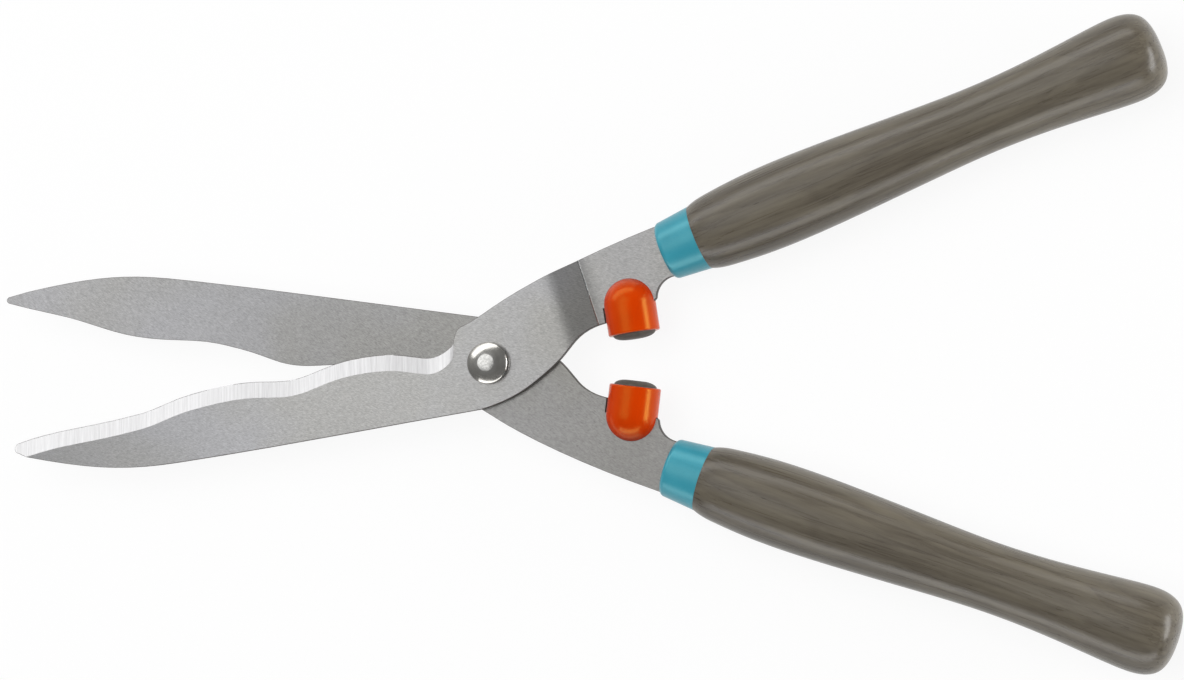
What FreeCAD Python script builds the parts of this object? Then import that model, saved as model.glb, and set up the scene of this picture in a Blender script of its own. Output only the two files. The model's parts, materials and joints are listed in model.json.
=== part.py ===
import FreeCAD, Part
import math
import os

# Hedge shears, lying flat and a little open. All sizes are in millimetres and degrees.
# The Z axis is the pivot axis and Z = 0 is the surface the shears rest on.
# X runs from the blade tips towards the handles. The front half has its handle at +Y.
# Each half is drawn closed, with its handle at +Y and its buffer face on the line Y = 0.
# The front half is then turned open by +half_opening. The back half is mirrored and turned by -half_opening.

half_opening = 8.0

# Steel plates
plate_thickness = 3.5
blade_gap = 0.1
handle_level = 18.6
back_bottom = handle_level - plate_thickness / 2
back_top = back_bottom + plate_thickness
front_bottom = back_top + blade_gap
front_top = front_bottom + plate_thickness
edge_land = 0.4
bevel_width = 7.2

# Joggle that brings the front tang down to the level of the back one
joggle_direction = 9.5
joggle_start = 36.9
joggle_end = 51.3
joggle_outer_radius = 28.0
joggle_heel_radius = 5.0
joggle_press_radius = 0.02
# Pressed line where the joggle ends: offset from its end, height above the tang. A groove, then a burr.
press_line = [(-0.34, 0.083), (-0.2, -0.1), (0.07, 0.17), (0.23, 0.0)]

# Pivot bolt, washers and nut
shank_radius = 5.0
hole_radius = 5.05
neck_side = 9.9
neck_hole_side = 10.0
head_radius = 9.2
head_height = 5.8
head_flat_radius = 3.3
head_dome_radius = 14.8
head_rim_rounding = 1.2
washer_radius = 10.0
washer_thickness = 2.0
washer_bore_radius = 5.25
spring_radius = 9.0
spring_thickness = 1.0
spring_cone = 0.35
nut_across_flats = 17.0
nut_height = 10.0
nut_hexagon_height = 7.8

# Buffer cap and buffer, on an axis parallel to Y
cap_centre = 65.45
cap_rim = 2.4
cap_rim_radius = 11.3
cap_rim_rounding = 0.8
cap_straight_end = 15.3
cap_end_radius = 11.35
slot_start = 14.9
tongue_half_width = 8.5
tongue_end = 5.5
buffer_radius = 9.4
buffer_face_radius = 7.2
buffer_shoulder = 2.0
buffer_clearance = 0.05

# Ferrule and wooden handle, on an axis that leans away from X
handle_start = (100.87, 38.7)
front_lean = 12.5
back_lean = 11.5
ferrule_length = 16.7
ferrule_front_radius = 13.0
ferrule_rear_radius = 14.4
ferrule_bore_radius = 12.0
ferrule_wall = 2.5
tang_half_width = 11.6
spike_root_half_width = 6.5
spike_end_half_width = 3.0
spike_length = 62.0
wood_clearance = 0.05

# Turned profile of the handle: distance behind the ferrule, radius. It ends in a rounded pommel.
handle_profile = [
    (0.0, 14.4),
    (3.8, 15.6),
    (11.0, 16.65),
    (22.0, 17.6),
    (38.0, 18.15),
    (62.0, 17.7),
    (100.0, 15.95),
    (132.0, 14.87),
    (157.0, 15.64),
    (180.0, 17.45),
    (192.0, 18.44),
    (199.0, 18.587),
    (203.6, 18.0),
    (207.0, 16.8),
    (209.6, 15.0),
    (211.5, 12.4),
    (212.7, 9.0),
    (213.3, 5.5),
    (213.45, 3.0),
]

# Cutting edges: distance along X, edge position along Y
front_edge = [
    (-224.6, 0.2),
    (-205.8, 2.2),
    (-184.0, 2.9),
    (-170.0, 3.7),
    (-160.0, 4.8),
    (-147.0, 7.7),
    (-136.0, 9.2),
    (-123.0, 10.0),
    (-108.0, 9.3),
    (-91.8, 7.5),
    (-81.8, 8.9),
    (-71.8, 11.0),
    (-56.8, 12.0),
    (-44.0, 10.9),
    (-33.0, 8.0),
    (-26.8, 6.7),
    (-20.8, 7.9),
    (-14.6, 11.9),
]
back_edge = [
    (-228.9, -0.6),
    (-211.8, 1.3),
    (-196.0, 3.0),
    (-181.8, 5.5),
    (-172.0, 6.9),
    (-161.0, 7.4),
    (-147.0, 6.7),
    (-132.0, 5.8),
    (-120.0, 6.7),
    (-106.8, 8.8),
    (-96.8, 10.9),
    (-89.8, 11.4),
    (-79.0, 10.3),
    (-68.0, 8.5),
    (-57.0, 7.9),
    (-46.0, 9.4),
    (-34.0, 11.4),
    (-24.0, 12.2),
    (-14.6, 12.4),
]
front_tip = [(-226.9, -2.1), (-225.7, -4.1)]
back_tip = [(-230.35, -2.0), (-229.2, -3.5)]

# Spine of both blades, from the hub to the tip
spine = [
    (-6.8, -19.5),
    (-61.8, -20.1),
    (-110.0, -20.6),
    (-145.0, -20.55),
    (-165.0, -19.9),
    (-182.0, -17.7),
    (-201.8, -12.9),
    (-220.8, -6.8),
]

# Hub and tang, from the end of the cutting edge round to the spine
hub_corner = [(-13.4, 14.6), (-12.2, 16.5), (-9.8, 17.9)]
outer_side = [
    (-9.8, 17.9),
    (-1.8, 20.7),
    (8.2, 25.15),
    (18.2, 29.1),
    (38.2, 35.7),
    (58.2, 41.2),
    (81.0, 46.4),
]
crook = [(85.9, 24.0), (80.1, 20.9), (77.9, 16.6)]
ear_tip = [(77.9, 16.6), (77.45, 15.6), (76.4, 15.2)]
lug_side = 53.7
inner_side = [
    (53.7, 8.9),
    (50.6, 8.5),
    (46.2, 7.3),
    (41.0, 4.5),
    (36.4, 0.4),
    (32.2, -3.3),
    (23.2, -9.2),
    (13.2, -14.4),
    (3.2, -17.7),
    (-6.8, -19.5),
]


def vector(point, z=0.0):
    return FreeCAD.Vector(point[0], point[1], z)


def line(start, end):
    return Part.makeLine(vector(start), vector(end))


def arc(points):
    first, middle, last = [vector(p) for p in points]
    return Part.Arc(first, middle, last).toShape()


def spline(points, z=None):
    heights = z or [0.0] * len(points)
    curve = Part.BSplineCurve()
    curve.interpolate([vector(p, h) for p, h in zip(points, heights)])
    return curve.toShape()


def prism(edges, bottom, top):
    face = Part.Face(Part.Wire(edges))
    face.translate(FreeCAD.Vector(0, 0, bottom))
    return face.extrude(FreeCAD.Vector(0, 0, top - bottom))


def polygon(points):
    return [line(a, b) for a, b in zip(points, points[1:] + points[:1])]


def turned(profile_edges, axis_point=(0.0, 0.0), direction=FreeCAD.Vector(0, 1, 0)):
    face = Part.Face(Part.Wire(profile_edges))
    return face.revolve(vector(axis_point), direction, 360)


def ring(outer, inner, bottom, top):
    disc = Part.makeCylinder(outer, top - bottom, FreeCAD.Vector(0, 0, bottom))
    hole = Part.makeCylinder(inner, top - bottom + 2, FreeCAD.Vector(0, 0, bottom - 1))
    return disc.cut(hole)


def along_handle(distance, side, lean):
    """A point given by its distance behind the ferrule and its offset to the side of the axis."""
    angle = math.radians(lean)
    x = handle_start[0] + distance * math.cos(angle) - side * math.sin(angle)
    y = handle_start[1] + distance * math.sin(angle) + side * math.cos(angle)
    return (x, y)


def spike_points(lean, clearance=0.0):
    front = ferrule_wall - ferrule_length
    root = spike_root_half_width + clearance
    end = spike_end_half_width + clearance
    tip = spike_length + clearance
    return [
        along_handle(front, root, lean),
        along_handle(tip - 3.0, end, lean),
        along_handle(tip, end * 0.4, lean),
        along_handle(tip, -end * 0.4, lean),
        along_handle(tip - 3.0, -end, lean),
        along_handle(front, -root, lean),
    ]


def half_outline(edge_points, tip_points, lean):
    """Closed outline of one half, from the tip along the cutting edge, round the tang and back."""
    shoulder = ferrule_wall - ferrule_length
    outer_shoulder = along_handle(shoulder, tang_half_width, lean)
    inner_shoulder = along_handle(shoulder, -tang_half_width, lean)
    spike = spike_points(lean)
    slot_floor = ear_tip[-1][1]
    tongue_outer = cap_centre + tongue_half_width
    tongue_inner = cap_centre - tongue_half_width
    edges = [
        spline(edge_points),
        line(edge_points[-1], hub_corner[0]),
        arc(hub_corner),
        spline(outer_side),
        line(outer_side[-1], outer_shoulder),
        line(outer_shoulder, spike[0]),
    ]
    edges += [line(a, b) for a, b in zip(spike, spike[1:])]
    edges += [
        line(spike[-1], inner_shoulder),
        line(inner_shoulder, crook[0]),
        arc(crook),
        arc(ear_tip),
        line(ear_tip[-1], (tongue_outer, slot_floor)),
        line((tongue_outer, slot_floor), (tongue_outer, tongue_end)),
        line((tongue_outer, tongue_end), (tongue_inner, tongue_end)),
        line((tongue_inner, tongue_end), (tongue_inner, slot_floor)),
        line((tongue_inner, slot_floor), (lug_side, slot_floor)),
        line((lug_side, slot_floor), inner_side[0]),
        spline(inner_side),
        spline(spine),
        line(spine[-1], tip_points[-1]),
        arc([tip_points[-1], tip_points[0], edge_points[0]]),
    ]
    return edges


def bevel_cutter(edge_points, face, rise):
    """Wedge that grinds the bevel. It starts on the given face and rises towards the other one by -rise."""
    slope = (abs(rise) - edge_land) / bevel_width
    sign = 1.0 if rise > 0 else -1.0
    outside = 1.5
    inside = 1.2
    tip_run = [(edge_points[0][0] - 8.0, edge_points[0][1] - 0.8)]
    points = tip_run + list(edge_points[:-1])
    widths = [bevel_width] * (len(points) - 2) + [6.9]
    widths.insert(0, bevel_width)
    top = face + sign * inside * slope
    low = face - sign * (abs(rise) - edge_land + outside * slope)
    inner = [(x, y - w - inside) for (x, y), w in zip(points, widths)]
    outer = [(x, y + outside) for x, y in points]
    wall_end = edge_points[-1]
    inner.append((wall_end[0] - 0.9, wall_end[1] - 6.4 - inside))
    outer.append((wall_end[0] + 0.3, wall_end[1] + outside))
    count = len(inner)
    inner_curve = spline(inner, [top] * count)
    low_curve = spline(outer, [low] * count)
    high_curve = spline(outer, [top] * count)
    faces = [
        Part.makeRuledSurface(inner_curve, low_curve),
        Part.makeRuledSurface(low_curve, high_curve),
        Part.makeRuledSurface(high_curve, inner_curve),
    ]
    for i in (0, -1):
        corners = [vector(inner[i], top), vector(outer[i], low), vector(outer[i], top)]
        faces.append(Part.Face(Part.makePolygon(corners + corners[:1])))
    shell = Part.makeShell([f for face in faces for f in face.Faces])
    shell.sewShape()
    solid = Part.makeSolid(shell)
    if solid.Volume < 0:
        solid.reverse()
    return solid


def rounded_path(points, radii):
    """Polyline edges with each inner corner rounded by its radius."""
    edges = []
    start = points[0]
    for i, radius in enumerate(radii, 1):
        corner = points[i]
        before = points[i - 1]
        after = points[i + 1]
        heading_in = math.atan2(corner[1] - before[1], corner[0] - before[0])
        heading_out = math.atan2(after[1] - corner[1], after[0] - corner[0])
        turn = heading_out - heading_in
        reach = radius * math.tan(abs(turn) / 2)
        first = (corner[0] - reach * math.cos(heading_in), corner[1] - reach * math.sin(heading_in))
        last = (corner[0] + reach * math.cos(heading_out), corner[1] + reach * math.sin(heading_out))
        side = math.copysign(math.pi / 2, turn)
        centre = (
            first[0] + radius * math.cos(heading_in + side),
            first[1] + radius * math.sin(heading_in + side),
        )
        mid_heading = heading_in + turn / 2 - side
        middle = (
            centre[0] + radius * math.cos(mid_heading),
            centre[1] + radius * math.sin(mid_heading),
        )
        edges.append(line(start, first))
        edges.append(arc([first, middle, last]))
        start = last
    edges.append(line(start, points[-1]))
    return edges


def joggled_slab():
    """Slab that the front plate is cut from: flat over the blade, one step lower over the tang."""
    drop = front_top - back_top
    angle = math.atan2(drop, joggle_end - joggle_start)
    shift = plate_thickness * math.tan(angle / 2)
    near = -260.0
    far = 200.0
    pressed = [(joggle_end + along, back_top + up) for along, up in press_line]
    upper = [(near, front_top), (joggle_start, front_top)] + pressed + [(far, back_top)]
    lower = [
        (far, back_bottom),
        (joggle_end - shift, back_bottom),
        (joggle_start - shift, front_bottom),
        (near, front_bottom),
    ]
    edges = rounded_path(upper, [joggle_outer_radius] + [joggle_press_radius] * len(pressed))
    edges.append(line(upper[-1], lower[0]))
    edges += rounded_path(
        lower,
        [joggle_heel_radius, joggle_outer_radius - plate_thickness],
    )
    edges.append(line(lower[-1], upper[0]))
    slab = Part.Face(Part.Wire(edges)).extrude(FreeCAD.Vector(0, 0, 240))
    slab.rotate(FreeCAD.Vector(), FreeCAD.Vector(1, 0, 0), 90)
    slab.translate(FreeCAD.Vector(0, 140, 0))
    slab.rotate(FreeCAD.Vector(), FreeCAD.Vector(0, 0, 1), joggle_direction)
    return slab


def front_plate():
    outline = half_outline(front_edge, front_tip, front_lean)
    plate = prism(outline, back_bottom - 1, front_top + 1).common(joggled_slab())
    plate = plate.cut(bevel_cutter(front_edge, front_top, plate_thickness))
    neck = Part.makeBox(neck_hole_side, neck_hole_side, 8)
    neck.translate(FreeCAD.Vector(-neck_hole_side / 2, -neck_hole_side / 2, front_bottom - 2))
    return plate.cut(neck)


def back_plate():
    outline = half_outline(back_edge, back_tip, back_lean)
    plate = prism(outline, back_bottom, back_top)
    plate = plate.cut(bevel_cutter(back_edge, back_bottom, -plate_thickness))
    hole = Part.makeCylinder(hole_radius, 8, FreeCAD.Vector(0, 0, back_bottom - 2))
    return plate.cut(hole)


def pivot_bolt():
    flat = front_top + head_height
    dome_centre = flat - math.sqrt(head_dome_radius**2 - head_flat_radius**2)
    rounding_centre = head_radius - head_rim_rounding
    reach = head_dome_radius - head_rim_rounding
    rim = dome_centre + math.sqrt(reach**2 - rounding_centre**2)
    rim_slope = math.asin(rounding_centre / reach)

    def on_dome(slope):
        return (head_dome_radius * math.sin(slope), dome_centre + head_dome_radius * math.cos(slope))

    half_way = math.radians(45) + rim_slope / 2
    rounding_middle = (
        rounding_centre + head_rim_rounding * math.sin(half_way),
        rim + head_rim_rounding * math.cos(half_way),
    )
    dome_middle = (rim_slope + math.asin(head_flat_radius / head_dome_radius)) / 2
    profile = [
        line((0, 0), (shank_radius - 0.8, 0)),
        line((shank_radius - 0.8, 0), (shank_radius, 0.8)),
        line((shank_radius, 0.8), (shank_radius, front_top)),
        line((shank_radius, front_top), (head_radius - 0.3, front_top)),
        line((head_radius - 0.3, front_top), (head_radius, front_top + 0.3)),
        line((head_radius, front_top + 0.3), (head_radius, rim)),
        arc([(head_radius, rim), rounding_middle, on_dome(rim_slope)]),
        arc([on_dome(rim_slope), on_dome(dome_middle), (head_flat_radius, flat)]),
        line((head_flat_radius, flat), (0, flat)),
        line((0, flat), (0, 0)),
    ]
    bolt = turned(profile)
    bolt.rotate(FreeCAD.Vector(), FreeCAD.Vector(1, 0, 0), 90)
    neck = Part.makeBox(neck_side, neck_side, plate_thickness)
    neck.translate(FreeCAD.Vector(-neck_side / 2, -neck_side / 2, front_bottom))
    rounding = Part.makeCylinder(neck_side * 0.66, plate_thickness, FreeCAD.Vector(0, 0, front_bottom))
    return bolt.fuse(neck.common(rounding)).removeSplitter()


def disc_spring(top):
    low = top - spring_cone
    profile = polygon([
        (washer_bore_radius, top),
        (spring_radius, low),
        (spring_radius, low - spring_thickness),
        (washer_bore_radius, top - spring_thickness),
    ])
    spring = turned(profile)
    spring.rotate(FreeCAD.Vector(), FreeCAD.Vector(1, 0, 0), 90)
    return spring


def lock_nut(top):
    """Hexagon with chamfered corners and a round crimped collar below it. Also returns the nylon ring."""
    bottom = top - nut_height
    hexagon_bottom = top - nut_hexagon_height
    corner = nut_across_flats / math.sqrt(3)
    points = []
    for i in range(6):
        angle = math.radians(60 * i)
        points.append((corner * math.cos(angle), corner * math.sin(angle)))
    hexagon = prism(polygon(points), hexagon_bottom, top)
    flat_radius = nut_across_flats / 2
    chamfer = (corner - flat_radius) * math.tan(math.radians(30)) + 0.15
    envelope = turned(polygon([
        (0, hexagon_bottom),
        (flat_radius - 0.25, hexagon_bottom),
        (corner, hexagon_bottom + chamfer),
        (corner, top - chamfer),
        (flat_radius - 0.25, top),
        (0, top),
    ]))
    envelope.rotate(FreeCAD.Vector(), FreeCAD.Vector(1, 0, 0), 90)
    collar = turned([
        line((0, bottom), (7.0, bottom)),
        arc([(7.0, bottom), (7.7, bottom + 0.35), (8.0, bottom + 1.0)]),
        line((8.0, bottom + 1.0), (8.0, hexagon_bottom)),
        line((8.0, hexagon_bottom), (0, hexagon_bottom)),
        line((0, hexagon_bottom), (0, bottom)),
    ])
    collar.rotate(FreeCAD.Vector(), FreeCAD.Vector(1, 0, 0), 90)
    bore = Part.makeCylinder(shank_radius, nut_height + 2, FreeCAD.Vector(0, 0, bottom - 1))
    insert_top = hexagon_bottom - 0.2
    recess = Part.makeCylinder(7.0, insert_top - bottom - 0.3, FreeCAD.Vector(0, 0, bottom + 0.3))
    mouth = Part.makeCylinder(6.2, 1.0, FreeCAD.Vector(0, 0, bottom - 0.5))
    nut = hexagon.common(envelope).fuse(collar).cut(bore).cut(recess).cut(mouth)
    insert = ring(7.0, shank_radius, bottom + 0.3, insert_top)
    return nut, insert


def buffer_cap():
    """Domed cap, open at the rim for the buffer and slotted above for the plate."""
    top = cap_straight_end + cap_end_radius
    root_half = cap_end_radius * math.sqrt(0.5)
    profile = [
        line((0, tongue_end - 1.0), (0, top)),
        arc([(0, top), (root_half, cap_straight_end + root_half), (cap_end_radius, cap_straight_end)]),
        line((cap_end_radius, cap_straight_end), (cap_rim_radius, cap_rim + cap_rim_rounding)),
        arc([
            (cap_rim_radius, cap_rim + cap_rim_rounding),
            (cap_rim_radius - 0.3 * cap_rim_rounding, cap_rim + 0.3 * cap_rim_rounding),
            (cap_rim_radius - cap_rim_rounding, cap_rim),
        ]),
        line((cap_rim_radius - cap_rim_rounding, cap_rim), (buffer_radius + buffer_clearance, cap_rim)),
        line(
            (buffer_radius + buffer_clearance, cap_rim),
            (buffer_radius + buffer_clearance, tongue_end - 1.0),
        ),
        line((buffer_radius + buffer_clearance, tongue_end - 1.0), (0, tongue_end - 1.0)),
    ]
    cap = turned(profile)
    slot = Part.makeBox(30, 20, plate_thickness + 0.1)
    slot.translate(FreeCAD.Vector(-15, slot_start, -plate_thickness / 2 - 0.05))
    pocket_half = tongue_half_width + 0.05
    pocket = Part.makeBox(2 * pocket_half, slot_start, plate_thickness + 0.1)
    pocket.translate(FreeCAD.Vector(-pocket_half, tongue_end - 2.0, -plate_thickness / 2 - 0.05))
    cap = cap.cut(slot).cut(pocket)
    cap.translate(FreeCAD.Vector(cap_centre, 0, handle_level))
    return cap


def rubber_buffer(face):
    """Round rubber plug. Its working face is at the given Y."""
    depth = tongue_end - 1.05
    profile = [
        line((0, face), (buffer_face_radius, face)),
        arc([
            (buffer_face_radius, face),
            (buffer_radius - buffer_shoulder * 0.42, face + buffer_shoulder * 0.42),
            (buffer_radius, face + buffer_shoulder),
        ]),
        line((buffer_radius, face + buffer_shoulder), (buffer_radius, depth)),
        line((buffer_radius, depth), (0, depth)),
        line((0, depth), (0, face)),
    ]
    plug = turned(profile)
    plug.translate(FreeCAD.Vector(cap_centre, 0, handle_level))
    return plug


def on_handle_axis(shape, lean):
    """Moves a shape turned about X to the handle's axis."""
    shape.rotate(FreeCAD.Vector(), FreeCAD.Vector(0, 0, 1), lean)
    shape.translate(FreeCAD.Vector(handle_start[0], handle_start[1], handle_level))
    return shape


def ferrule(lean):
    front = -ferrule_length
    inside = front + ferrule_wall
    edge_radius = 2.4
    profile = [
        line((front, 0), (front, ferrule_front_radius - edge_radius)),
        arc([
            (front, ferrule_front_radius - edge_radius),
            (front + edge_radius * 0.29, ferrule_front_radius - edge_radius * 0.29),
            (front + edge_radius, ferrule_front_radius),
        ]),
        line((front + edge_radius, ferrule_front_radius), (0, ferrule_rear_radius)),
        line((0, ferrule_rear_radius), (0, ferrule_bore_radius)),
        line((0, ferrule_bore_radius), (inside, ferrule_bore_radius)),
        line((inside, ferrule_bore_radius), (inside, 0)),
        line((inside, 0), (front, 0)),
    ]
    sleeve = turned(profile, direction=FreeCAD.Vector(1, 0, 0))
    slot_half = tang_half_width + 0.1
    slot = Part.makeBox(ferrule_wall + 1.0, 2 * slot_half, plate_thickness + 0.1)
    slot.translate(FreeCAD.Vector(front - 0.5, -slot_half, -plate_thickness / 2 - 0.05))
    return on_handle_axis(sleeve.cut(slot), lean)


def wooden_handle(lean):
    spigot = ferrule_bore_radius - wood_clearance
    inside = ferrule_wall - ferrule_length + 0.1
    first = handle_profile[0]
    last = handle_profile[-1]
    profile = [
        line((inside, 0), (inside, spigot)),
        line((inside, spigot), (0.03, spigot)),
        line((0.03, spigot), (0.03, first[1])),
        spline([(0.03, first[1])] + handle_profile[1:]),
        line(last, (last[0], 0)),
        line((last[0], 0), (inside, 0)),
    ]
    handle = on_handle_axis(turned(profile, direction=FreeCAD.Vector(1, 0, 0)), lean)
    spike = prism(
        polygon(spike_points(lean, wood_clearance)),
        back_bottom - wood_clearance,
        back_top + wood_clearance,
    )
    return handle.cut(spike)


def front_placed(shape):
    shape.rotate(FreeCAD.Vector(), FreeCAD.Vector(0, 0, 1), half_opening)
    return shape


def back_placed(shape):
    mirrored = shape.mirror(FreeCAD.Vector(), FreeCAD.Vector(0, 1, 0))
    mirrored.rotate(FreeCAD.Vector(), FreeCAD.Vector(0, 0, 1), -half_opening)
    return mirrored


washer_top = back_bottom - blade_gap
spring_top = washer_top - washer_thickness
nut_top = spring_top - spring_cone - spring_thickness
nut, nut_insert = lock_nut(nut_top)
front_buffer_face = 0.05
back_buffer_face = 0.05

pieces = {
    "front_blade": front_placed(front_plate()),
    "back_blade": back_placed(back_plate()),
    "pivot_bolt": front_placed(pivot_bolt()),
    "pivot_washer": front_placed(ring(washer_radius, washer_bore_radius, spring_top, washer_top)),
    "disc_spring": front_placed(disc_spring(spring_top)),
    "lock_nut": front_placed(nut),
    "nut_insert": front_placed(nut_insert),
    "front_cap": front_placed(buffer_cap()),
    "back_cap": back_placed(buffer_cap()),
    "front_buffer": front_placed(rubber_buffer(front_buffer_face)),
    "back_buffer": back_placed(rubber_buffer(back_buffer_face)),
    "front_ferrule": front_placed(ferrule(front_lean)),
    "back_ferrule": back_placed(ferrule(back_lean)),
    "front_handle": front_placed(wooden_handle(front_lean)),
    "back_handle": back_placed(wooden_handle(back_lean)),
}

os.makedirs("parts", exist_ok=True)
for name, shape in pieces.items():
    shape.exportStep("parts/" + name + ".step")
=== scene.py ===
import json
import math

import bmesh
import bpy
from mathutils import Matrix, Vector


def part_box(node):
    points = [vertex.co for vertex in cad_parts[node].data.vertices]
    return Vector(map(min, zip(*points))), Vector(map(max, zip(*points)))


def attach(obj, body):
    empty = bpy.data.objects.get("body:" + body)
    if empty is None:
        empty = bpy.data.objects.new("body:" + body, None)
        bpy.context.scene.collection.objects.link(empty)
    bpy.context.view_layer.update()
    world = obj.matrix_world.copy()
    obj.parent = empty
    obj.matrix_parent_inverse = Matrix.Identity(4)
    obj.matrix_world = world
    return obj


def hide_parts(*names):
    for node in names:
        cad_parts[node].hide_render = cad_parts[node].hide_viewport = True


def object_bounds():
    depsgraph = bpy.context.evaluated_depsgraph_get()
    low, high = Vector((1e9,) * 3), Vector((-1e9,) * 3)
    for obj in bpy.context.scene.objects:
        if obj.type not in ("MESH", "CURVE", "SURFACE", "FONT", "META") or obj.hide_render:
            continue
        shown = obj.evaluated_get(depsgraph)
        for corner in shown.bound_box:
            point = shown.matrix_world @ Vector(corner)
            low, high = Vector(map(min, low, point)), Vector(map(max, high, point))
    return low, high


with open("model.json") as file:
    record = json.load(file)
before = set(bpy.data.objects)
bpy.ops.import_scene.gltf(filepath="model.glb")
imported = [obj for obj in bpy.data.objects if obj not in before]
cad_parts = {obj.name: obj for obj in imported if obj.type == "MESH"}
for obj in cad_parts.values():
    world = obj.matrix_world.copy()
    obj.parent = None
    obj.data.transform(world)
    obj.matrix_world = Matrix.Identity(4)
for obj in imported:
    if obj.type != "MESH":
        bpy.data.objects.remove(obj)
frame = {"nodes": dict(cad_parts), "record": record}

# Looks of the hedge shears. Lengths are in metres, in the part's own frame: Z is the pivot axis,
# and the shears lie on the plane through the lowest point of the model.

cad_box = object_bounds()
bodies = {
    node: body for body, nodes in frame["record"]["behaviour"]["bodies"].items() for node in nodes
}
mounts = {mount["name"]: mount for mount in frame["record"]["mounts"]}

MM = 0.001
# Each half is turned this far from the middle line, the front half one way and the back half
# the other.
half_opening = math.radians(8)
# Where the step in the front tang ends, a pressed line crosses the plate:
# the direction across that line, and its distance from the pivot.
press_direction = math.radians(17.5)
press_line = 51.5 * MM
# The radius of the flat in the middle of the bolt's head.
bolt_flat = 3.6 * MM


# ---------------------------------------------------------------- node helpers

def rgba(red, green, blue):
    return (red, green, blue, 1.0)


white = rgba(1.0, 1.0, 1.0)


def link_or_set(tree, socket, value):
    if isinstance(value, bpy.types.NodeSocket):
        tree.links.new(value, socket)
    else:
        socket.default_value = value


def add(tree, kind, settings=None, **inputs):
    """Adds a shader node. An input is a value or the output socket that feeds it."""
    made = tree.nodes.new("ShaderNode" + kind)
    for key, value in (settings or {}).items():
        setattr(made, key, value)
    for key, value in inputs.items():
        link_or_set(tree, made.inputs[key.replace("_", " ")], value)
    return made


def maths(tree, operation, first, second=0.0):
    done = add(tree, "Math", {"operation": operation})
    link_or_set(tree, done.inputs[0], first)
    link_or_set(tree, done.inputs[1], second)
    return done.outputs[0]


def weighted_sum(tree, *layers):
    """Adds up layers, each a value and its share."""
    parts = [maths(tree, "MULTIPLY", value, share) for value, share in layers]
    total = parts[0]
    for part in parts[1:]:
        total = maths(tree, "ADD", total, part)
    return total


def hypotenuse(tree, first, second):
    squares = [maths(tree, "MULTIPLY", side, side) for side in (first, second)]
    return maths(tree, "SQRT", maths(tree, "ADD", *squares))


def spread(tree, value, low, high, to_low=0.0, to_high=1.0):
    """Maps low..high to to_low..to_high, clamped."""
    mapped = add(tree, "MapRange", Value=value, From_Min=low, From_Max=high,
                 To_Min=to_low, To_Max=to_high)
    return mapped.outputs["Result"]


def blend_colour(tree, factor, first, second, how="MIX"):
    """Goes from the first colour to the second as factor goes from 0 to 1."""
    mixer = add(tree, "Mix", {"data_type": "RGBA", "blend_type": how})
    factor_input, first_input, second_input = (mixer.inputs[i] for i in (0, 6, 7))
    link_or_set(tree, factor_input, factor)
    link_or_set(tree, first_input, first)
    link_or_set(tree, second_input, second)
    return mixer.outputs[2]


def tinted(tree, colour, tint):
    return blend_colour(tree, 1.0, colour, tint, "MULTIPLY")


def noise(tree, coords, scale, detail=3.0, rough=0.5, distortion=0.0):
    """Noise from 0 to 1, with about scale grains to the metre."""
    made = add(tree, "TexNoise", Vector=coords, Scale=scale, Detail=detail, Roughness=rough)
    made.inputs["Distortion"].default_value = distortion
    return made.outputs["Fac"]


def object_coords(tree, turn=0.0, origin=(0.0, 0.0, 0.0), stretch=(1.0, 1.0, 1.0)):
    """Frame coordinates seen from origin with X turned about Z, then stretched."""
    coords = add(tree, "TexCoord").outputs["Object"]
    place = Vector(origin)
    place.rotate(Matrix.Rotation(-turn, 3, "Z"))
    turned = add(tree, "Mapping", Vector=coords, Rotation=(0.0, 0.0, -turn), Location=-place)
    stretched = add(tree, "Mapping", Vector=turned.outputs[0], Scale=stretch)
    return stretched.outputs[0]


def coordinate(tree, coords, axis):
    return add(tree, "SeparateXYZ", Vector=coords).outputs[axis]


def new_material(name, **constants):
    """A Principled material. Constants go straight on the shader's sockets."""
    made = bpy.data.materials.new(name)
    made.use_nodes = True
    shader = made.node_tree.nodes["Principled BSDF"]
    for key, value in constants.items():
        shader.inputs[key.replace("_", " ")].default_value = value
    return made, made.node_tree, shader


def dress(tree, shader, colour, roughness, relief, depth, strength):
    """Gives a shader its colour and roughness, and bumps that follow the relief."""
    tree.links.new(colour, shader.inputs["Base Color"])
    tree.links.new(roughness, shader.inputs["Roughness"])
    bump = add(tree, "Bump", Height=relief, Distance=depth, Strength=strength)
    tree.links.new(bump.outputs["Normal"], shader.inputs["Normal"])


# ---------------------------------------------------------------- materials

def painted_press_shading(tree, shade):
    """Paints shadow onto a plate just behind the pressed line, where the step shades it, and less
    further back. A painted highlight, brighter than its surroundings, runs along the burr on the
    line itself."""
    painted_shadow_tone, burr_glint_strength = rgba(0.60, 0.60, 0.60), 0.8
    across = coordinate(tree, object_coords(tree, press_direction), "X")

    def ramp(start, end, to_start=0.0, to_end=1.0):
        """Start and end are distances behind the line, seen from the pivot."""
        return spread(tree, across, press_line + start, press_line + end, to_start, to_end)

    # Painted shadow behind the step, and a painted highlight along the burr.
    before = ramp(0.0, 0.1 * MM, 1.0, 0.0)
    behind = maths(tree, "POWER", ramp(0.3 * MM, 6.0 * MM), 0.8)
    glint_starts = ramp(0.0, 0.15 * MM)
    glint_ends = ramp(0.35 * MM, 0.5 * MM, 1.0, 0.0)
    painted_burr_glint = maths(tree, "MULTIPLY", glint_starts, glint_ends)
    painted_burr_glint = maths(tree, "MULTIPLY", painted_burr_glint, burr_glint_strength)
    clear = maths(tree, "MAXIMUM", maths(tree, "MAXIMUM", before, behind), painted_burr_glint)
    return blend_colour(tree, clear, tinted(tree, shade, painted_shadow_tone), shade)


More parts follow.
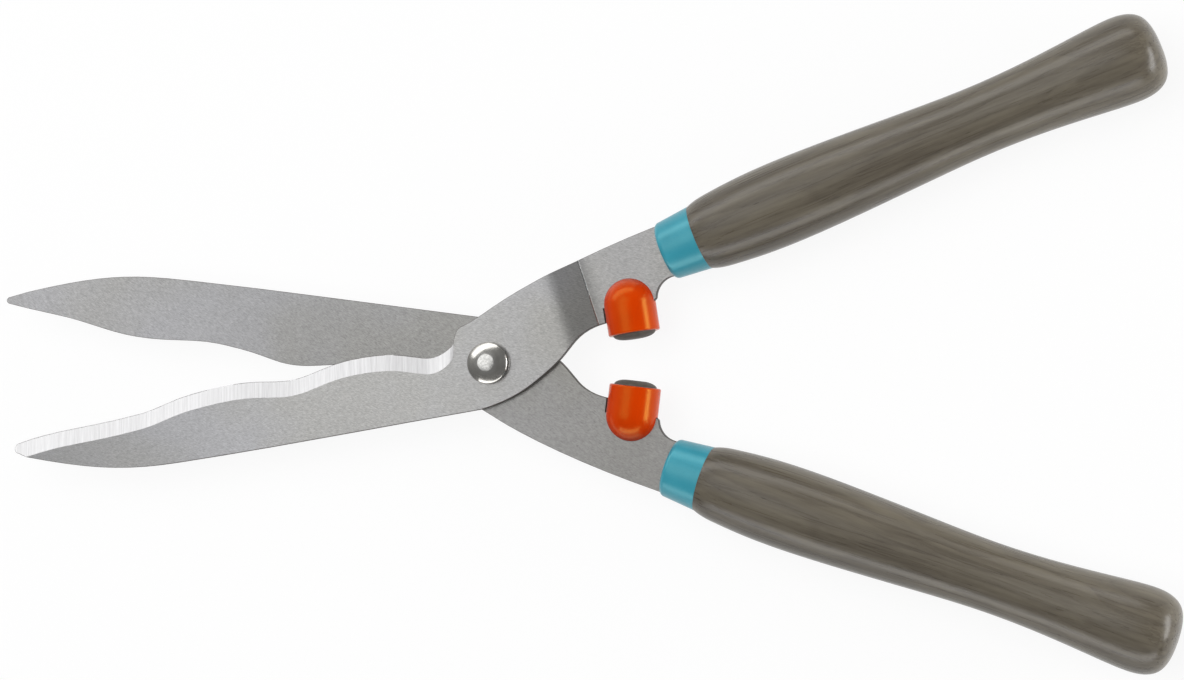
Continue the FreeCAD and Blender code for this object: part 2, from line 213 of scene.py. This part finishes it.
def satin_steel(name, turn, light, dark, painted_tip_shading, painted_tang_shading, pressed=False):
    """Blade steel: fine brush strokes that cross the blade aslant, with a faint bloom.
    The plate lies in the direction turn, and its colour is painted lighter or darker towards the
    tip and the tang: painted light and shade along the blade, warmer on the tang."""
    made, tree, shader = new_material(name, Metallic=1.0)
    tip, blade_middle, hub, tang = -215 * MM, -80 * MM, -30 * MM, 60 * MM
    plain = object_coords(tree)
    cloud = noise(tree, plain, 17, 2, 0.5)
    bloom = noise(tree, plain, 620, 3, 0.6, 0.6)

    def brushed(slant, stretch, *settings):
        """Noise drawn out into strokes, which slant from the plate's direction by an angle."""
        coords = object_coords(tree, turn + slant, stretch=(1.0, stretch, 1.0))
        return noise(tree, coords, *settings)

    strokes = brushed(-0.46, 6.0, 500, 5, 0.76, 0.5)
    hairs = brushed(-0.34, 9.0, 700, 4, 0.8, 0.3)
    cross = brushed(0.30, 5.0, 680, 4, 0.78, 0.5)
    tone = weighted_sum(
        tree, (cloud, 0.08), (bloom, 0.06), (strokes, 0.36), (hairs, 0.32), (cross, 0.18)
    )
    base = blend_colour(tree, spread(tree, tone, 0.43, 0.57), dark, light)
    cool = tinted(tree, base, rgba(0.991, 0.995, 1.022))
    warm = tinted(tree, base, rgba(1.006, 1.003, 0.982))
    base = blend_colour(tree, spread(tree, cloud, 0.40, 0.60), warm, cool)
    # Painted light and shade: the colour is multiplied by a tone that changes towards the tip and
    # the tang.
    along = coordinate(tree, object_coords(tree, turn), "X")
    shade = blend_colour(tree, spread(tree, along, tip, blade_middle), painted_tip_shading, white)
    shade = blend_colour(tree, spread(tree, along, hub, tang), shade, painted_tang_shading)
    # The front plate gets a painted shadow and a painted highlight at its pressed line.
    if pressed:
        shade = painted_press_shading(tree, shade)
    dress(tree, shader, tinted(tree, base, shade), spread(tree, tone, 0.40, 0.60, 0.36, 0.28),
          maths(tree, "ADD", strokes, hairs), 0.02 * MM, 0.7)
    return made


def rim_steel_painted_shade():
    """The blanked rim of a plate and its rolled corner: dull, with torn grain across it, and
    painted dark as the shade that lies along the plate's edges.
    """
    made, tree, shader = new_material("rim_steel_painted_shade", Metallic=0.15, Specular_IOR_Level=0.2)
    torn = noise(tree, object_coords(tree, stretch=(1.0, 1.0, 0.15)), 2200, 3, 0.6)
    # Painted shade: the dark colour stands for the shade along the edges.
    base = blend_colour(tree, torn, rgba(0.065, 0.059, 0.054), rgba(0.13, 0.12, 0.112))
    dress(tree, shader, base, spread(tree, torn, 0.3, 0.7, 0.5, 0.66), torn, 0.05 * MM, 0.6)
    return made


def ground_steel(name, turn):
    """Freshly ground bevel: bright, with very fine grinding lines across the edge."""
    made, tree, shader = new_material(name, Metallic=1.0)
    across = object_coords(tree, turn, stretch=(1.0, 0.02, 0.02))
    fine = noise(tree, across, 3400, 4, 0.75)
    wide = noise(tree, across, 1000, 2, 0.6)
    lines = weighted_sum(tree, (fine, 0.72), (wide, 0.28))
    base = blend_colour(tree, spread(tree, lines, 0.37, 0.63),
                        rgba(0.457, 0.454, 0.459), rgba(0.611, 0.609, 0.614))
    dress(tree, shader, base, spread(tree, fine, 0.3, 0.7, 0.40, 0.48), lines, 0.01 * MM, 0.3)
    return made


def polished_steel():
    """The bolt: a polished dome with faint turning marks, round a flat that is a little blotchy.
    The flat and the band round it are painted paler, a painted reflection, and the band near the
    rim is painted darker, a painted shade."""
    made, tree, shader = new_material("polished_steel", Metallic=1.0)
    plain = object_coords(tree)
    cloud = noise(tree, plain, 300, 3)
    fine = noise(tree, plain, 2500, 2)
    blotch = noise(tree, plain, 900, 3, 0.7)
    reach = hypotenuse(tree, coordinate(tree, plain, "X"), coordinate(tree, plain, "Y"))
    turned = noise(tree, add(tree, "CombineXYZ", X=reach).outputs[0], 2600, 3, 0.7)
    marks = weighted_sum(tree, (turned, 0.7), (cloud, 0.3))
    dome = blend_colour(tree, spread(tree, marks, 0.38, 0.62),
                        rgba(0.435, 0.425, 0.397), rgba(0.530, 0.520, 0.490))
    # Painted reflection near the flat and painted shade near the rim.
    painted_sheen_near_flat = spread(tree, reach, 3.7 * MM, 5.6 * MM, 0.75, 0.0)
    dome = blend_colour(tree, painted_sheen_near_flat, dome, rgba(0.60, 0.595, 0.575))
    painted_shade_near_rim = spread(tree, reach, 6.6 * MM, 8.4 * MM, 0.0, 0.8)
    dome = blend_colour(tree, painted_shade_near_rim, dome, rgba(0.385, 0.375, 0.355))
    # The flat's paler colour is a painted highlight; its blotches are marks on the flat.
    flat = blend_colour(tree, spread(tree, blotch, 0.4, 0.6),
                        rgba(0.64, 0.635, 0.615), rgba(0.80, 0.795, 0.77))
    past_flat = spread(tree, reach, bolt_flat - 0.1 * MM, bolt_flat + 0.1 * MM)
    base = blend_colour(tree, past_flat, flat, dome)
    dress(tree, shader, base, spread(tree, cloud, 0.35, 0.65, 0.16, 0.24), fine, 0.01 * MM, 0.25)
    return made


def zinc_steel():
    """Zinc plating with a faint blue and yellow cast."""
    made, tree, shader = new_material("zinc_steel", Metallic=1.0)
    plain = object_coords(tree)
    cast = noise(tree, plain, 160, 3)
    fine = noise(tree, plain, 1800, 4)
    base = blend_colour(tree, spread(tree, cast, 0.35, 0.65),
                        rgba(0.55, 0.58, 0.63), rgba(0.66, 0.64, 0.58))
    dress(tree, shader, base, spread(tree, fine, 0.3, 0.7, 0.26, 0.42), fine, 0.03 * MM, 0.5)
    return made


def moulded_plastic(name, shade, lighter, rough, gloss=0.5, gloss_tint=white):
    """Moulded plastic: slight cloudiness in the colour and a fine eroded grain."""
    made, tree, shader = new_material(name, Specular_IOR_Level=gloss, Specular_Tint=gloss_tint)
    plain = object_coords(tree)
    cloud = noise(tree, plain, 90, 3)
    grain = noise(tree, plain, 3200, 2)
    base = blend_colour(tree, spread(tree, cloud, 0.3, 0.7), shade, lighter)
    roughness = spread(tree, grain, 0.3, 0.7, rough - 0.04, rough + 0.06)
    dress(tree, shader, base, roughness, grain, 0.02 * MM, 0.4)
    return made


def buffer_rubber():
    """Dark rubber with a fine grain, a little dusty."""
    made, tree, shader = new_material("buffer_rubber", Specular_IOR_Level=0.35)
    plain = object_coords(tree)
    dust = noise(tree, plain, 350, 4)
    grain = noise(tree, plain, 2600, 3)
    base = blend_colour(tree, spread(tree, dust, 0.35, 0.7),
                        rgba(0.066, 0.054, 0.044), rgba(0.104, 0.087, 0.071))
    dress(tree, shader, base, spread(tree, dust, 0.3, 0.7, 0.5, 0.66), grain, 0.04 * MM, 0.5)
    return made


def stained_wood(name, grip):
    """Ash turned along the grip's axis, stained and lacquered: faint growth rings, soft streaks,
    a few pores."""
    made, tree, shader = new_material(name, Specular_IOR_Level=0.44)
    heart_side, heart_depth = 52 * MM, 30 * MM
    rings_per_metre, waviness = 360.0, 22 * MM
    direction = Vector(grip["axis"])
    local = object_coords(tree, math.atan2(direction.y, direction.x), grip["pos_m"])

    def grained(lengthwise, crosswise, *settings):
        """Noise drawn out along the grip: so many grains to the metre along it and across it."""
        coords = add(tree, "Mapping", Vector=local, Scale=(lengthwise, crosswise, crosswise))
        return noise(tree, coords.outputs[0], 1.0, *settings)

    side = maths(tree, "ADD", coordinate(tree, local, "Y"), heart_side)
    depth = maths(tree, "ADD", coordinate(tree, local, "Z"), heart_depth)
    wave = maths(tree, "MULTIPLY", grained(5.0, 16.0, 3, 0.6), waviness)
    bent = maths(tree, "ADD", hypotenuse(tree, side, depth), wave)
    rings = maths(tree, "FRACT", maths(tree, "MULTIPLY", bent, rings_per_metre))
    early = spread(tree, rings, 0.0, 0.45, 1.0, 0.0)
    streak = grained(14.0, 520.0, 4, 0.6, 0.4)
    figure = grained(26.0, 150.0, 3, 0.55, 1.2)
    broad = grained(5.0, 62.0, 2)
    pore_spots = spread(tree, grained(190.0, 2600.0, 1), 0.64, 0.74)
    pores = maths(tree, "MULTIPLY", pore_spots, maths(tree, "ADD", early, 0.1))
    tone = weighted_sum(tree, (broad, 0.47), (streak, 0.35), (figure, 0.30))
    tone = maths(tree, "SUBTRACT", tone, maths(tree, "MULTIPLY", early, 0.055))
    base = blend_colour(tree, spread(tree, tone, 0.38, 0.71),
                        rgba(0.060, 0.049, 0.036), rgba(0.162, 0.141, 0.103))
    base = blend_colour(tree, maths(tree, "MULTIPLY", pores, 0.65), base, rgba(0.035, 0.028, 0.022))
    relief = maths(tree, "SUBTRACT", maths(tree, "MULTIPLY", streak, 0.5), pores)
    dress(tree, shader, base, spread(tree, streak, 0.3, 0.7, 0.25, 0.33), relief, 0.04 * MM, 0.4)
    return made


zinc = zinc_steel()
orange = moulded_plastic(
    "orange_plastic", rgba(0.545, 0.033, 0.0), rgba(0.605, 0.039, 0.0), rough=0.22,
    gloss=0.46, gloss_tint=rgba(1.0, 0.80, 0.12),
)
turquoise = moulded_plastic(
    "turquoise_plastic", rgba(0.030, 0.27, 0.36), rgba(0.040, 0.31, 0.405), rough=0.30,
    gloss=0.65, gloss_tint=rgba(0.6, 1.0, 0.92),
)
black_rubber = buffer_rubber()
materials = {
    # Each plate's tip and tang tones are painted light and shade along the blade.
    "front_blade": satin_steel(
        "front_steel", half_opening, rgba(0.672, 0.67, 0.669), rgba(0.403, 0.401, 0.399),
        painted_tip_shading=rgba(0.75, 0.75, 0.755), painted_tang_shading=rgba(0.85, 0.843, 0.826), pressed=True,
    ),
    "back_blade": satin_steel(
        "back_steel", -half_opening, rgba(0.487, 0.484, 0.477), rgba(0.284, 0.281, 0.277),
        painted_tip_shading=rgba(1.335, 1.34, 1.375), painted_tang_shading=rgba(0.935, 0.92, 0.875),
    ),
    "pivot_bolt": polished_steel(),
    "pivot_washer": zinc,
    "disc_spring": zinc,
    "lock_nut": zinc,
    "nut_insert": moulded_plastic(
        "nylon", rgba(0.72, 0.72, 0.68), rgba(0.8, 0.8, 0.76), rough=0.45,
    ),
    "front_cap": orange,
    "back_cap": orange,
    "front_buffer": black_rubber,
    "back_buffer": black_rubber,
    "front_ferrule": turquoise,
    "back_ferrule": turquoise,
    "front_handle": stained_wood("front_wood", mounts["front_grip"]),
    "back_handle": stained_wood("back_wood", mounts["back_grip"]),
}
bevel_materials = {
    "front_blade": ground_steel("front_bevel", half_opening),
    "back_blade": ground_steel("back_bevel", -half_opening),
}
rim_material_painted_shade = rim_steel_painted_shade()

for node_name, material in materials.items():
    frame["nodes"][node_name].data.materials.clear()
    frame["nodes"][node_name].data.materials.append(material)


# ---------------------------------------------------------------- pieces

def show(mesh, name, node_name, looks):
    """Puts a finished mesh in the scene as the piece that stands for a CAD node."""
    data = bpy.data.meshes.new(name)
    mesh.to_mesh(data)
    mesh.free()
    for material in looks:
        data.materials.append(material)
    piece = bpy.data.objects.new(name, data)
    bpy.context.scene.collection.objects.link(piece)
    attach(piece, bodies[node_name])
    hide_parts(node_name)
    return piece


def skin(rows):
    """A closed mesh over rows of points, each row one ring, with a flat face on each end ring."""
    mesh = bmesh.new()
    rings = [[mesh.verts.new(point) for point in row] for row in rows]
    for low, high in zip(rings, rings[1:]):
        for k in range(len(low)):
            mesh.faces.new((low[k - 1], low[k], high[k], high[k - 1]))
    mesh.faces.new(list(reversed(rings[0])))
    mesh.faces.new(rings[-1])
    for face in mesh.faces:
        face.smooth = True
    bmesh.ops.recalc_face_normals(mesh, faces=mesh.faces)
    return mesh


def is_rim(face):
    """The faces of a plate's rim stand upright."""
    nearly_upright = 0.3
    return abs(face.normal.z) < nearly_upright


def is_bevel(face):
    """The ground bevel is the only slanting face ahead of the hub."""
    hub_front, almost_level = -12 * MM, 0.985
    before_hub = all(v.co.x < hub_front for v in face.verts)
    return before_hub and not is_rim(face) and abs(face.normal.z) < almost_level


def softened_plate(node_name):
    """The plate with its corners broken. Its ground bevel and its rim have their own materials."""
    merge_distance, corner_width = 0.001 * MM, 0.18 * MM
    level_fold, sharp_fold, corner_fold = (math.radians(angle) for angle in (0.3, 12, 35))
    face_slot, bevel_slot, rim_slot = 0, 1, 2
    mesh = bmesh.new()
    mesh.from_mesh(frame["nodes"][node_name].data)
    bmesh.ops.remove_doubles(mesh, verts=mesh.verts, dist=merge_distance)
    bmesh.ops.dissolve_limit(mesh, angle_limit=level_fold, verts=mesh.verts, edges=mesh.edges)
    for face in mesh.faces:
        face.material_index = (
            bevel_slot if is_bevel(face) else rim_slot if is_rim(face) else face_slot
        )
        face.smooth = True
    for edge in mesh.edges:
        folded = len(edge.link_faces) == 2 and edge.calc_face_angle() > sharp_fold
        if folded or len({face.material_index for face in edge.link_faces}) > 1:
            edge.smooth = False
    corners = [
        edge for edge in mesh.edges
        if len(edge.link_faces) == 2 and edge.calc_face_angle() > corner_fold
        and sum(is_rim(face) for face in edge.link_faces) == 1
    ]
    bmesh.ops.bevel(mesh, geom=corners, offset=corner_width, segments=2, profile=0.5,
                    affect="EDGES", clamp_overlap=False, material=rim_slot)
    looks = (materials[node_name], bevel_materials[node_name], rim_material_painted_shade)
    piece = show(mesh, node_name + "_plate", node_name, looks)
    weighted = piece.modifiers.new("flat_faces", "WEIGHTED_NORMAL")
    weighted.keep_sharp = True


def pivot_bolt():
    """The bolt with its real thread below the nut, a square neck in the front plate
    and a domed head."""
    around = 96
    thread_steps, rounding_steps, dome_steps = 40, 8, 12
    radius, pitch, depth = 4.99 * MM, 1.5 * MM, 0.9 * MM
    thread_top, end_chamfer = 3.9 * MM, 0.8 * MM
    # In shares of the groove's depth: its flanks would meet at groove_peak if the flat root at 1
    # didn't cut them off, and they climb groove_slope over one pitch.
    groove_peak, groove_slope = 1.13, 2.5
    plate_low, plate_high = 20.45 * MM, 23.95 * MM
    neck_half, neck_corner = 4.95 * MM, 6.53 * MM
    head_radius, rounding, dome = 9.2 * MM, 1.2 * MM, 14.8 * MM
    head_chamfer = 0.3 * MM
    head_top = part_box("pivot_bolt")[1].z

    def threaded(z, angle):
        """The radius of the thread: its groove winds round the shank and runs out at the top."""
        phase = (z / pitch - angle / math.tau) % 1.0
        groove = min(1.0, max(0.0, groove_peak - groove_slope * abs(phase - 0.5)))
        run_out = min(1.0, max(0.0, (thread_top - z) / pitch))
        end = min(radius, radius - end_chamfer + z)
        return min(end, radius - depth * groove * run_out)

    def squared(angle):
        """The radius of the square neck, whose corners are rounded."""
        return min(neck_corner, neck_half / max(abs(math.cos(angle)), abs(math.sin(angle))))

    angles = [math.tau * k / around for k in range(around)]
    rings = []
    for i in range(thread_steps + 1):
        z = thread_top * i / thread_steps
        rings.append([(threaded(z, angle), z) for angle in angles])
    rings.append([(radius, plate_low)] * around)
    for z in (plate_low, plate_high):
        rings.append([(squared(angle), z) for angle in angles])
    rings.append([(head_radius - head_chamfer, plate_high)] * around)
    rings.append([(head_radius, plate_high + head_chamfer)] * around)
    dome_centre = head_top - math.sqrt(dome**2 - bolt_flat**2)
    upright = math.radians(90)
    rounding_reach = head_radius - rounding
    edge_slope = math.asin(rounding_reach / (dome - rounding))
    rounding_z = dome_centre + (dome - rounding) * math.cos(edge_slope)
    for i in range(rounding_steps + 1):
        slope = upright + (edge_slope - upright) * i / rounding_steps
        at = (rounding_reach + rounding * math.sin(slope), rounding_z + rounding * math.cos(slope))
        rings.append([at] * around)
    flat_slope = math.asin(bolt_flat / dome)
    for i in range(1, dome_steps + 1):
        slope = edge_slope + (flat_slope - edge_slope) * i / dome_steps
        rings.append([(dome * math.sin(slope), dome_centre + dome * math.cos(slope))] * around)

    rows = [
        [
            (reach * math.cos(angle + half_opening), reach * math.sin(angle + half_opening), z)
            for angle, (reach, z) in zip(angles, ring)
        ]
        for ring in rings
    ]
    show(skin(rows), "threaded_bolt", "pivot_bolt", [materials["pivot_bolt"]])


def crowned_buffer(node_name, side):
    """The rubber plug with its working face rounded off in one soft curve from the middle to
    the wall. Side is 1 for the front half and -1 for the back half."""
    around, steps = 96, 14
    centre_x, level = 65.45 * MM, 18.6 * MM
    radius, flat, face, crown, depth = 9.4 * MM, 3.6 * MM, 0.05 * MM, 2.6 * MM, 4.45 * MM
    hidden_end = radius - 1.0 * MM
    profile = []
    for i in range(steps + 1):
        bend = math.radians(90) * i / steps
        reach = flat + (radius - flat) * math.sin(bend)
        profile.append((reach, face + crown * (1 - math.cos(bend))))
    profile += [(radius, depth), (hidden_end, depth)]
    turn = Matrix.Rotation(side * half_opening, 4, "Z")
    rows = []
    for reach, y in profile:
        row = []
        for k in range(around):
            angle = math.tau * k / around
            x, z = centre_x + reach * math.cos(angle), level + reach * math.sin(angle)
            row.append(turn @ Vector((x, side * y, z)))
        rows.append(row)
    show(skin(rows), node_name + "_crowned", node_name, [materials[node_name]])


softened_plate("front_blade")
softened_plate("back_blade")
pivot_bolt()
crowned_buffer("front_buffer", 1)
crowned_buffer("back_buffer", -1)


# ---------------------------------------------------------------- stage, light and camera

def floor():
    """Pale paper under the shears. Most of it is a white glow that only the camera, reflections
    and clear things see, and the rest is a plain surface that keeps the shadow."""
    size, gap, glow_share = 12.0, 0.1 * MM, 0.9
    made = bpy.data.materials.new("floor_paper")
    made.use_nodes = True
    tree = made.node_tree
    tree.nodes.clear()
    plain = add(tree, "BsdfDiffuse", Color=rgba(0.93, 0.93, 0.93))
    glow = add(tree, "Emission", Color=white, Strength=1.0)
    path = add(tree, "LightPath")
    seen = maths(tree, "MAXIMUM", path.outputs["Is Camera Ray"], path.outputs["Is Glossy Ray"])
    seen = maths(tree, "MAXIMUM", seen, path.outputs["Is Transmission Ray"])
    mixer = add(tree, "MixShader", Fac=maths(tree, "MULTIPLY", seen, glow_share))
    tree.links.new(plain.outputs[0], mixer.inputs[1])
    tree.links.new(glow.outputs[0], mixer.inputs[2])
    add(tree, "OutputMaterial", Surface=mixer.outputs[0])
    bpy.ops.mesh.primitive_plane_add(size=size, location=(0.0, 0.0, cad_box[0].z - gap))
    paper = bpy.context.object
    paper.name = "floor"
    paper.data.materials.append(made)


def studio_world():
    """A dim studio, a little lighter towards the side that the large softbox is on."""
    light_side = (-0.5, 0.866, 0.0)
    dim, lighter = 0.235, 0.44
    world = bpy.data.worlds.new("studio")
    world.use_nodes = True
    bpy.context.scene.world = world
    tree = world.node_tree
    tree.nodes.clear()
    toward = add(tree, "VectorMath", {"operation": "DOT_PRODUCT"})
    tree.links.new(add(tree, "TexCoord").outputs["Generated"], toward.inputs[0])
    toward.inputs[1].default_value = light_side
    level = spread(tree, toward.outputs["Value"], 0.0, 0.8, dim, lighter)
    background = add(tree, "Background", Color=level, Strength=1.0)
    add(tree, "OutputWorld", Surface=background.outputs[0])


def softbox(name, azimuth, elevation, distance, width, height, level, lights="all"):
    """A rectangular lamp that faces the middle of the shears and shows at the given level.
    Azimuth runs from +X towards +Y. It lights all, only the gloss or only the matt part
    of each surface."""
    lamp = bpy.data.lights.new(name, "AREA")
    lamp.shape = "RECTANGLE"
    lamp.size = width
    lamp.size_y = height
    lamp.energy = level * math.pi * width * height
    holder = bpy.data.objects.new(name, lamp)
    around = math.radians(azimuth)
    up = math.radians(elevation)
    way = Vector((math.cos(around) * math.cos(up), math.sin(around) * math.cos(up), math.sin(up)))
    holder.location = (cad_box[0] + cad_box[1]) / 2 + way * distance
    holder.rotation_euler = way.to_track_quat("Z", "Y").to_euler()
    holder.visible_camera = False
    holder.visible_glossy = lights != "matt"
    holder.visible_diffuse = lights != "gloss"
    bpy.context.scene.collection.objects.link(holder)


def camera(yaw, pitch, roll, distance, pivot_in_view, lens):
    """Looks down at the shears. pivot_in_view is how far right of and above the view's centre
    the pivot shows."""
    turn = (
        Matrix.Rotation(math.radians(yaw), 3, "Y")
        @ Matrix.Rotation(math.radians(pitch), 3, "X")
        @ Matrix.Rotation(math.radians(roll), 3, "Z")
    )
    pivot = Vector((0.0, 0.0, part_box("back_blade")[0].z))
    away = Vector((-pivot_in_view[0], -pivot_in_view[1], distance))
    made = bpy.data.cameras.new("view")
    made.lens = lens
    made.sensor_width = 36.0
    holder = bpy.data.objects.new("view", made)
    to_frame = turn.transposed()
    holder.matrix_world = Matrix.Translation(to_frame @ away + pivot) @ to_frame.to_4x4()
    bpy.context.scene.collection.objects.link(holder)
    bpy.context.scene.camera = holder


floor()
studio_world()
softbox("top_box", azimuth=116, elevation=27, distance=1.5,
        width=2.6, height=0.60, level=2.8, lights="gloss")
softbox("low_box", azimuth=-92, elevation=14.5, distance=1.5,
        width=2.4, height=0.60, level=3.4, lights="gloss")
softbox("right_box", azimuth=0, elevation=11, distance=1.5,
        width=1.2, height=0.50, level=7.2)
softbox("overhead_box", azimuth=152, elevation=70, distance=1.8,
        width=1.2, height=0.98, level=0.84)
softbox("fill_box", azimuth=150, elevation=66, distance=2.0,
        width=2.2, height=2.0, level=2.3, lights="matt")
camera(yaw=-14.0, pitch=-1.5, roll=1.45, distance=1.6,
       pivot_in_view=(-0.04343, -0.01025), lens=110.57)
bpy.context.scene.view_settings.view_transform = "Standard"
